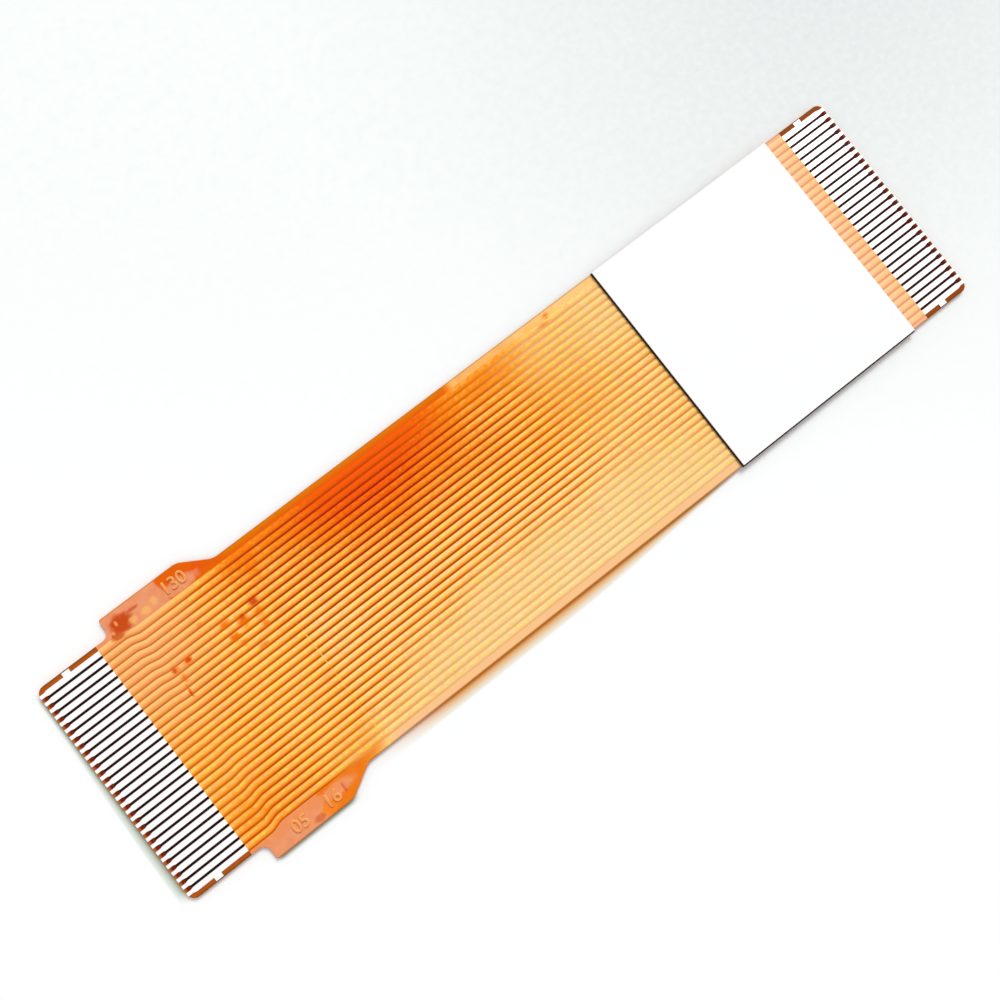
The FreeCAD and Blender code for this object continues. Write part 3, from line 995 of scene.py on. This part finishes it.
# The table's mottle grows toward the top and it greys into one corner: painted shade of the light falling off
MOTTLE = colour(240, 248, 246)
MOTTLE_SIZE = 0.7 * MM
MOTTLE_RISE = (-4 * MM, 20 * MM, 0.1, 0.8)
SHADED_CORNER = ((72.0, 20.0), (42.0, 42.0), 0.3, 0.0, 0.95)
GREY_DARK = colour(214, 222, 223)
GREY_LIGHT = colour(242, 244, 242)
GREY_SIZE = 0.5 * MM
FRINGE_FADE = 0.8
# A painted amber shadow along the cable's lower edge, tinted as by light through the film
GLOW_REACH = 0.9 * MM
GLOW_NARROWEST = 0.3 * GLOW_REACH
GLOW_NARROWS = (28.0, 43.0)
GLOW_STRETCH = ((12.5, 20.0), (39.0, 43.0))
GLOW_STOPS = [
    (0.0, colour(255, 156, 56)),
    (0.15, colour(250, 160, 76)),
    (0.3, colour(236, 180, 120)),
    (0.45, colour(236, 200, 156)),
    (0.6, colour(240, 218, 189)),
    (0.8, colour(244, 234, 218)),
    (1.0, colour(250, 248, 242)),
]
# Painted soft shadows off the left tips and the lower ear
TIP_SHADE_REACH = 0.8 * MM
TIP_SHADE_NARROWEST = 0.5 * TIP_SHADE_REACH
TIP_SHADE_NARROWS = (-6 * MM, 7 * MM)
TIP_SHADE_ENDS = (6.8 * MM, 7.8 * MM)
EAR_SHADE_REACH = 0.4 * MM
EAR_SHADE_FADE = 0.6
EAR_SHADE_STRENGTH = 0.8
EAR_SHADE_STRETCH = ((5.2, 5.6), (10.6, 11.4))
SHADE_STOPS = [
    (0.0, colour(180, 150, 112)),
    (0.2, colour(180, 172, 145)),
    (0.4, colour(194, 200, 184)),
    (0.6, colour(214, 224, 215)),
    (0.8, colour(232, 239, 235)),
    (1.0, colour(246, 250, 248)),
]
SKY_COLOUR = colour(254, 255, 255)
SKY_LEVEL = 0.61
KEY_AZIMUTH = 42.0
KEY_ELEVATION = 46.0
KEY_SOFTNESS = 26.0
KEY_STRENGTH = 1.76


def fringe(shader, shade, distance, stops, within, fade=FRINGE_FADE, strength=1.0):
    """The floor's colour with a painted shadow fringe along an edge of the cable. Distance is 0 at the edge
    and 1 where the fringe ends, fade is where it starts to fade, and within is 1 on the stretch that has it."""
    fading = shader.ease(distance, fade, 1.0, strength, 0.0)
    share = shader.scale(shader.above(distance, -1.0), fading, within)
    return shader.mix(share, shade, shader.ramp(distance, stops))


def floor_shade(shader):
    """A pale mottled table, darker toward the top and greyest in one corner as painted shade of the light
    falling off, with a painted amber shadow along the cable's lower edge, tinted as by light through the
    film, and painted soft shadows off the left tips and the lower ear."""
    upward = shader.add(shader.scale(shader.x, CAMERA_UP.x), shader.scale(shader.y, CAMERA_UP.y))
    mottle = shader.mix(shader.noise(MOTTLE_SIZE, FLOOR_DETAIL), MOTTLE, WHITE)
    shade = shader.mix(shader.ease(upward, *MOTTLE_RISE), WHITE, mottle)
    grey = shader.mix(shader.noise(GREY_SIZE, FLOOR_DETAIL), GREY_DARK, GREY_LIGHT)
    shade = shader.mix(shader.spot(*SHADED_CORNER), shade, grey)
    reach = shader.along(*GLOW_NARROWS, GLOW_REACH, GLOW_NARROWEST)
    off_edge = shader.divide(shader.less(-HALF_WIDTH, shader.y), reach)
    shade = fringe(shader, shade, off_edge, GLOW_STOPS, shader.between(*GLOW_STRETCH))
    reach = shader.ease(shader.y, *TIP_SHADE_NARROWS, TIP_SHADE_REACH, TIP_SHADE_NARROWEST)
    off_tips = shader.divide(shader.less(FILM_LOW.x, shader.x), reach)
    behind_tips = shader.ease(shader.absolute(shader.y), *TIP_SHADE_ENDS, 1.0, 0.0)
    shade = fringe(shader, shade, off_tips, SHADE_STOPS, behind_tips)
    off_ear = shader.divide(shader.less(-COVER_HIGH.y, shader.y), EAR_SHADE_REACH)
    by_ear = shader.between(*EAR_SHADE_STRETCH)
    return fringe(shader, shade, off_ear, SHADE_STOPS, by_ear, EAR_SHADE_FADE, EAR_SHADE_STRENGTH)


def make_floor():
    mesh = bpy.data.meshes.new("floor")
    points = [(x * FLOOR_REACH, y * FLOOR_REACH, -FLOOR_DROP) for x, y in FLOOR_CORNERS]
    mesh.from_pydata(points, [], [(0, 1, 2, 3)])
    floor = bpy.data.objects.new("floor", mesh)
    bpy.context.scene.collection.objects.link(floor)
    shader = Shader("pale_table")
    mesh.materials.append(shader.finish(floor_shade(shader), FLOOR_ROUGHNESS, FLOOR_GLOSS))


def make_world():
    """White to the camera and in reflections, and a plain level of light on the object."""
    world = bpy.data.worlds.new("studio")
    world.use_nodes = True
    nodes, links = world.node_tree.nodes, world.node_tree.links
    rays = nodes.new("ShaderNodeLightPath")
    seen = nodes.new("ShaderNodeMath")
    seen.operation = "MAXIMUM"
    links.new(rays.outputs["Is Camera Ray"], seen.inputs[0])
    links.new(rays.outputs["Is Glossy Ray"], seen.inputs[1])
    level = nodes.new("ShaderNodeMapRange")
    level.inputs["To Min"].default_value = SKY_LEVEL
    links.new(seen.outputs[0], level.inputs["Value"])
    background = nodes["Background"]
    background.inputs["Color"].default_value = SKY_COLOUR
    links.new(level.outputs[0], background.inputs["Strength"])
    bpy.context.scene.world = world


def make_key_light():
    azimuth, elevation = math.radians(KEY_AZIMUTH), math.radians(KEY_ELEVATION)
    flat = math.cos(elevation)
    toward = Vector((math.cos(azimuth) * flat, math.sin(azimuth) * flat, math.sin(elevation)))
    data = bpy.data.lights.new("key", "SUN")
    data.angle = math.radians(KEY_SOFTNESS)
    data.energy = KEY_STRENGTH
    key = bpy.data.objects.new("key", data)
    key.location = toward
    key.rotation_mode = "QUATERNION"
    key.rotation_quaternion = (-toward).to_track_quat("-Z", "Y")
    bpy.context.scene.collection.objects.link(key)


make_camera()
make_cover()
make_digits()
dress_nodes()
make_floor()
make_world()
make_key_light()

bpy.context.scene.view_settings.view_transform = "Standard"
